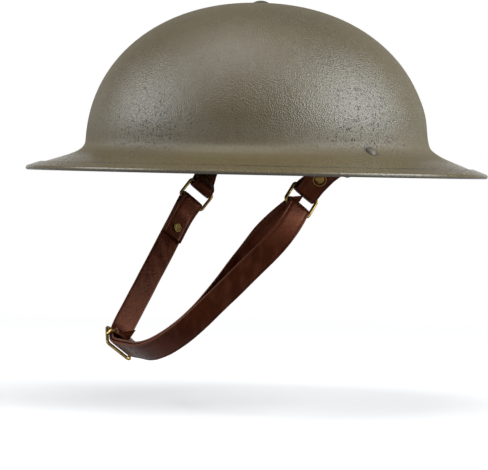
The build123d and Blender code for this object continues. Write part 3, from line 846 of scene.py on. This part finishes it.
def lining_oval(height, depth):
    """Half width and half length of the lining at a height, at a depth inward from the steel."""
    semis = []
    for wall in (wall_x, wall_y):
        low, high = inner_semi(wall, bumper_low), inner_semi(wall, bumper_high)
        rise = (height - bumper_low) / (bumper_high - bumper_low)
        semis.append(low + (high - low) * rise - depth)
    return semis


felt_depth = 2 * bumper_radius + bumper_seat + soft_seat
oilcloth_depth = felt_depth + felt_sheet + seat
lining_depth = oilcloth_depth + oilcloth
band_cord = 0.0011
around = 160


def make_tower(rings, closed_top=False):
    """A wall drawn up from one oval to the next: rings are (half width, half length, height)."""
    deselect()
    bpy.ops.mesh.primitive_circle_add(vertices=around, radius=1, fill_type="NOTHING")
    wall = bpy.context.object
    edit(wall)
    wide, long, high = rings[0]
    bpy.ops.transform.resize(value=(wide, long, 1), center_override=(0, 0, 0))
    bpy.ops.transform.translate(value=(0, 0, high))
    for next_wide, next_long, next_high in rings[1:]:
        bpy.ops.mesh.extrude_region_move(TRANSFORM_OT_translate={"value": (0, 0, next_high - high)})
        bpy.ops.transform.resize(value=(next_wide / wide, next_long / long, 1), center_override=(0, 0, 0))
        wide, long, high = next_wide, next_long, next_high
    if closed_top:
        bpy.ops.mesh.edge_face_add()
    bpy.ops.mesh.select_all(action="SELECT")
    bpy.ops.mesh.normals_make_consistent(inside=False)
    leave_edit()
    return wall


def straight_rings(depth, low, high, rows):
    """Rings of a wall that follows the lining."""
    heights = [low + (high - low) * row / rows for row in range(rows + 1)]
    return [(*lining_oval(z, depth), z) for z in heights]


def ruffle(piece, reach, scale, seed):
    """Uneven hand-made form: every vertex moves a little, by smooth noise."""
    for vertex in piece.data.vertices:
        shift = noise.noise_vector(vertex.co * scale + Vector((seed, seed, seed)))
        vertex.co += reach * Vector((shift.x, shift.y, shift.z * 0.5))


def make_felt_band():
    """Thick felt behind the band: a soft, uneven wall with rounded edges."""
    band = make_tower(straight_rings(felt_depth + 0.00015, band_low, band_high, 10))
    ruffle(band, reach=0.0004, scale=90.0, seed=3.0)
    modify(band, "SOLIDIFY", thickness=felt_sheet - 0.0003, offset=-1)
    modify(band, "BEVEL", width=0.0007, segments=2, limit_method="ANGLE")
    return settle(band, "felt_wall", "grey_felt", "helmet", "felt_band", mend=True)


def make_head_band():
    """The oilcloth band: slightly waved, with both its edges turned in over a cord."""
    band = make_tower(straight_rings(oilcloth_depth + 0.0001, band_low, band_high, 12))
    for vertex in band.data.vertices:
        turn = atan2(vertex.co.y, vertex.co.x)
        middle = 1 - abs(2 * (vertex.co.z - band_low) / (band_high - band_low) - 1)
        inward = 0.0004 * middle * (1 + sin(turn * 23 + 1.3)) + 0.0003 * noise.noise(vertex.co * 60)
        vertex.co.x -= inward * cos(turn)
        vertex.co.y -= inward * sin(turn)
    modify(band, "SOLIDIFY", thickness=oilcloth - 0.0004, offset=-1)
    modify(band, "BEVEL", width=0.0003, segments=2, limit_method="ANGLE")
    return settle(band, "oilcloth_wall", "black_oilcloth", "helmet", "head_band", mend=True)


def make_band_roll(name, wide, long, height):
    """The band's edge, rolled over a cord."""
    deselect()
    bpy.ops.mesh.primitive_torus_add(major_segments=around, minor_segments=10, major_radius=wide,
                                     minor_radius=band_cord)
    cord = bpy.context.object
    for vertex in cord.data.vertices:
        turn = atan2(vertex.co.y, vertex.co.x)
        vertex.co.y += (long - wide) * sin(turn)
        vertex.co.z += height
    ruffle(cord, reach=0.00012, scale=300.0, seed=height * 100)
    return settle(cord, name, "black_oilcloth", "helmet")


def copy_to(piece, places):
    """One mesh of a small piece, repeated at many places."""
    base = piece.data
    parts = []
    for place in places:
        part = bpy.data.objects.new(piece.name, base.copy())
        part.data.transform(place)
        bpy.context.collection.objects.link(part)
        parts.append(part)
    bpy.data.objects.remove(piece)
    deselect()
    for part in parts:
        part.select_set(True)
    bpy.context.view_layer.objects.active = parts[0]
    bpy.ops.object.join()
    return parts[0]


stitch_radius = 0.00042


def make_stitches(name, height, depth, count):
    """A row of thread stitches round the band's inside."""
    deselect()
    bpy.ops.mesh.primitive_uv_sphere_add(segments=8, ring_count=6, radius=stitch_radius)
    stitch = bpy.context.object
    stretch(stitch, (1, 4.2, 0.9))
    wide, long = lining_oval(height, depth)
    places = []
    for number in range(count):
        turn = 2 * pi * number / count
        spot = Vector((wide * cos(turn), long * sin(turn), height))
        heading = atan2(spot.y / wall_y ** 2, spot.x / wall_x ** 2) + radians(4) * noise.noise(spot * 900)
        places.append(Matrix.Translation(spot) @ Matrix.Rotation(heading, 4, "Z"))
    return settle(copy_to(stitch, places), name, "net_twine", "helmet")


cap_top = crown_top - sheet - pad_height
cap_rows = 22
pleats = 26
pleat_depth = 0.0009


def make_lining_cap():
    """The oilcloth dome: gathered into pleats that run up to the crown rivet."""
    wide, long = lining_oval(band_high, oilcloth_depth)
    tall = cap_top - band_high
    ups = [share / cap_rows * pi / 2 for share in (*range(cap_rows), 0.98 * cap_rows)]
    rings = [(wide * cos(up), long * cos(up), band_high + tall * sin(up)) for up in ups]
    cap = make_tower(rings, closed_top=True)
    for vertex in cap.data.vertices:
        turn, rise = atan2(vertex.co.y, vertex.co.x), (vertex.co.z - band_high) / tall
        swell = sin(pi * min(1.0, rise * 1.04)) ** 0.7 * pleat_depth if 0 < rise < 0.96 else 0.0
        fold = swell * (abs(sin(turn * pleats / 2 + 0.3 * noise.noise(vertex.co * 30))) - 1.0)
        vertex.co += vertex.normal * fold
    modify(cap, "SOLIDIFY", thickness=cap_sheet - 0.0002, offset=-1)
    return settle(cap, "oilcloth_dome", "black_oilcloth", "helmet", "lining_cap", mend=True)


def make_crown_pad():
    """A felt disc, a little proud at its middle, under the steel at the crown."""
    low, high = cap_top + seat, crown_top - sheet - soft_seat
    fullness = (1 - (pad_radius / (wall_x - sheet)) ** bowl_fullness) ** (1 / bowl_fullness)
    drop = high + soft_seat - (bowl_spring + (bowl_height - sheet) * fullness)
    rings = [(0.006, low), (pad_radius - 0.0008, low), (pad_radius - 0.0002, low + 0.0006)]
    for share in (0.99, 0.9, 0.75, 0.55, 0.35, 0.12):
        rings.append((pad_radius * share, high - drop * share ** 2 - 0.0002))
    pad = make_tower([(wide, wide, z) for wide, z in rings], closed_top=True)
    edit(pad, "DESELECT")
    bpy.ops.mesh.select_non_manifold()
    bpy.ops.mesh.edge_face_add()
    leave_edit()
    ruffle(pad, reach=0.00015, scale=260.0, seed=5.0)
    return settle(pad, "crown_felt", "grey_felt", "helmet", "crown_pad", mend=True)


net_columns = 20
net_knot_rows = 5
net_row = radians(16)
net_low_edge = radians(-4)
net_start = radians(2)
net_end = radians(79)
knot_radius = 0.0013

# A strand's loop over the draw cord: reach from the middle, and rise.
net_loop = [(0.0128, 0.0012), (0.0114, 0.0024), (0.0096, 0.0014), (0.0094, -0.0006), (0.0110, -0.0022),
            (0.0130, -0.0012)]


def net_spot(up, turn, lift=0.0):
    """A spot on the net's dome, by its angle up from the dome's foot and its turn."""
    wide, long = (semi - 0.0008 + lift for semi in lining_oval(band_high, lining_depth + soft_seat))
    height = net_low + net_rise * sin(up) + lift
    return Vector((wide * cos(up) * cos(turn), long * cos(up) * sin(turn), height))


def make_tube(lines, radius, closed=False, order=3):
    """Smooth round strands, one for each line of spots, as one mesh."""
    deselect()
    bpy.ops.curve.primitive_nurbs_path_add()
    curve = bpy.context.object
    curve.data.splines.clear()
    for spots in lines:
        strand = curve.data.splines.new("NURBS")
        strand.points.add(len(spots) - 1)
        for point, spot in zip(strand.points, spots):
            point.co = (*spot, 1)
        strand.order_u = order
        strand.use_endpoint_u = not closed
        strand.use_cyclic_u = closed
        strand.resolution_u = 3
    curve.data.bevel_depth = radius
    curve.data.bevel_resolution = 2
    curve.data.use_fill_caps = not closed
    only(curve)
    bpy.ops.object.convert(target="MESH")
    return bpy.context.object


def make_net():
    """Knotted twine: two sets of strands cross in diamonds, and each strand loops over the draw cord."""
    height = net_spot(net_end, 0).z
    lines = []
    for way in (-1, 1):
        for column in range(net_columns):
            strand = []
            up = net_low_edge
            while up < net_end:
                turn = 2 * pi * (column + way * 0.5 * (up - net_start) / net_row) / net_columns
                strand.append(net_spot(up, turn, 0.0004 * way))
                up += net_row / 4
            for reach, rise in net_loop:
                strand.append(Vector((reach * cos(turn), reach * sin(turn), height + rise)))
            lines.append(strand)
    net = make_tube(lines, net_twine)
    deselect()
    bpy.ops.mesh.primitive_ico_sphere_add(subdivisions=2, radius=knot_radius)
    knot = bpy.context.object
    stretch(knot, (0.75, 1.0, 1.25))
    places = []
    for row in range(net_knot_rows):
        for column in range(net_columns):
            turn = 2 * pi * (column + 0.5 * (row % 2)) / net_columns
            spot = net_spot(net_start + row * net_row, turn)
            out = Vector((spot.x / wall_x ** 2, spot.y / wall_y ** 2, (spot.z - net_low) / net_rise ** 2))
            places.append(Matrix.Translation(spot) @ out.to_track_quat("X", "Z").to_matrix().to_4x4())
    knots = copy_to(knot, places)
    ruffle(knots, reach=0.0002, scale=900.0, seed=2.0)
    only(net)
    knots.select_set(True)
    bpy.ops.object.join()
    return settle(net, "twine_net", "net_twine", "helmet", "crown_net")


cord_reach = 0.0114
cord_lay = 0.00068
cord_strand = 0.00066
cord_turns = 15


def make_draw_cord():
    """Three strands laid round each other in a ring."""
    height = net_spot(net_end, 0).z
    count = cord_turns * 6
    lines = []
    for strand in range(3):
        line = []
        for step in range(count):
            turn = 2 * pi * step / count
            twist = cord_turns * turn + 2 * pi * strand / 3
            wide = cord_reach + cord_lay * cos(twist)
            line.append((wide * cos(turn), wide * sin(turn), height + cord_lay * sin(twist)))
        lines.append(line)
    cord = make_tube(lines, cord_strand, closed=True, order=4)
    return settle(cord, "laid_cord", "draw_cord", "helmet", "draw_cord")


washer_radius = 0.0041
washer_wire = 0.00042


def make_washer(side, hand):
    """A ring pressed into the tab's leather round its rivet."""
    low = strap_place @ Vector((*ring_top, 0))
    high = strap_place @ Vector((*bail_low, tab_skew))
    out = (high - low).normalized().cross(wide_strap).normalized()
    spot = (low + high) / 2 + out * (tab_sheet + 0.0001)
    turn = out.to_track_quat("Z", "Y").to_euler()
    deselect()
    bpy.ops.mesh.primitive_torus_add(major_segments=40, minor_segments=8, major_radius=washer_radius,
                                     minor_radius=washer_wire, location=spot, rotation=turn)
    washer = bpy.context.object
    bake_place(washer)
    stretch(washer, (hand, 1, 1))
    return settle(washer, side + "_tab_washer", "brass", side + "_tab", mend=True)


stitch_count = 150
stitch_inset = 0.0026
buckle_hole = (0.170, 0.0008, 0.0011)

make_felt_band()
make_head_band()
for label, edge_height, inward in (("lower", band_low, 1), ("upper", band_high, -1)):
    roll_height = edge_height + inward * band_cord
    wide, long = lining_oval(roll_height, lining_depth)
    make_band_roll(label + "_band_roll", wide, long, roll_height)
    make_stitches(label + "_band_stitches", roll_height + inward * stitch_inset, lining_depth + 0.0001,
                  stitch_count)
make_lining_cap()
make_crown_pad()
make_net()
make_draw_cord()
make_washer("left", 1)
make_washer("right", -1)
make_strap_layer("chin_strap", chin_circles(), seed=1.5, lift=0.00010, holes=[buckle_hole])
make_strap_layer("strap_return", return_circles(), seed=4.2, lift=0.00006)
make_tab("left", False)
make_tab("right", True)


# Floor, light and camera.

floor_gap = 0.028
view_turn = radians(65)
view_distance = 1.60
view_height = 0.005
view_side = -0.0079
view_drop = -0.0415
view_roll = radians(1.24)
view_lens = 180


def background_share(tree, mirrored):
    """Where the plain white background shows: in full to the camera, and by a share in reflections."""
    seen = put(tree, "LightPath").outputs
    open_rays = larger(tree, seen["Is Camera Ray"], seen["Is Transmission Ray"])
    return larger(tree, open_rays, times(tree, seen["Is Glossy Ray"], mirrored))


def make_floor():
    """A pale floor that fades to white away from the helmet."""
    deselect()
    bpy.ops.mesh.primitive_circle_add(vertices=96, radius=9.0, fill_type="NGON",
                                      location=(0, 0, cad_box[0].z - floor_gap))
    floor = bpy.context.object
    floor.name = "floor"
    made, tree, shader, coords = new_material("pale_floor")
    seen = put(tree, "LightPath").outputs["Is Camera Ray"]
    pale = blend_colour(tree, seen, (0.40, 0.40, 0.40, 1), (0.80, 0.80, 0.80, 1))
    tree.links.new(pale, shader["Base Color"])
    shader["Roughness"].default_value = 0.9
    shader["Specular IOR Level"].default_value = 0.1
    open_rays = background_share(tree, 0.20)
    white = put(tree, "Emission", {"Color": (1, 1, 1, 1), "Strength": 1.0}).outputs[0]
    glow = times(tree, open_rays, 0.25)
    lifted = put(tree, "Emission", {"Color": (1, 1, 1, 1), "Strength": glow}).outputs[0]
    near = put(tree, "AddShader", {0: tree.nodes["Principled BSDF"].outputs[0], 1: lifted}).outputs[0]
    fade = spread(tree, on_vector(tree, "LENGTH", coords)["Value"], 0.28, 0.95)
    mixed = put(tree, "MixShader", {0: times(tree, fade, open_rays), 1: near, 2: white}).outputs[0]
    tree.links.new(mixed, tree.nodes["Material Output"].inputs["Surface"])
    floor.data.materials.append(made)


def make_world():
    """A dim room; reflections see the white backdrop behind the helmet only."""
    world = bpy.data.worlds.new("studio")
    bpy.context.scene.world = world
    world.use_nodes = True
    tree = world.node_tree
    way = put(tree, "TexCoord").outputs["Generated"]
    ahead = on_vector(tree, "DOT_PRODUCT", way, (-sin(view_turn), cos(view_turn), 0))["Value"]
    backdrop = times(tree, spread(tree, height_of(tree, way), 0.10, 0.35, 1.0, 0.0),
                     spread(tree, ahead, 0.6, 0.97))
    mirrored = spread(tree, backdrop, 0.0, 1.0, 0.12, 1.0)
    colour = blend_colour(tree, background_share(tree, mirrored), (0.12, 0.12, 0.122, 1), (1, 1, 1, 1))
    tree.links.new(colour, tree.nodes["Background"].inputs["Color"])


def soft_lamp(name, turn, lift, reach, size, power, colour=(1, 1, 1)):
    """A large square lamp that faces the helmet, at a turn round it and a lift above the horizon."""
    back = Vector((sin(turn) * cos(lift), -cos(turn) * cos(lift), sin(lift)))
    bpy.ops.object.light_add(type="AREA", location=back * reach)
    lamp = bpy.context.object
    lamp.name = name
    lamp.rotation_euler = back.to_track_quat("Z", "Y").to_euler()
    lamp.data.size = size
    lamp.data.energy = power
    lamp.data.color = colour


def make_camera():
    side = Vector((cos(view_turn), sin(view_turn), 0))
    back = Vector((sin(view_turn), -cos(view_turn), 0))
    target = side * view_side + Vector((0, 0, view_drop))
    bpy.ops.object.camera_add(location=side * view_side + back * view_distance + Vector((0, 0, view_height)))
    camera = bpy.context.object
    turn = (camera.location - target).to_track_quat("Z", "Y").to_matrix()
    camera.matrix_world = Matrix.LocRotScale(camera.location, turn @ Matrix.Rotation(view_roll, 3, "Z"), None)
    camera.data.lens = view_lens
    camera.data.sensor_width = 36
    camera.data.clip_start = 0.05
    camera.data.clip_end = 60
    bpy.context.scene.camera = camera


cool_white = (0.94, 0.97, 1)

make_floor()
make_world()
soft_lamp("top_lamp", radians(40), radians(76), reach=1.7, size=1.3, power=14)
soft_lamp("front_lamp", radians(-13), radians(25), reach=1.8, size=1.4, power=27, colour=cool_white)
soft_lamp("back_lamp", radians(139), radians(25), reach=1.8, size=1.7, power=50, colour=cool_white)
make_camera()
bpy.context.scene.view_settings.view_transform = "Standard"
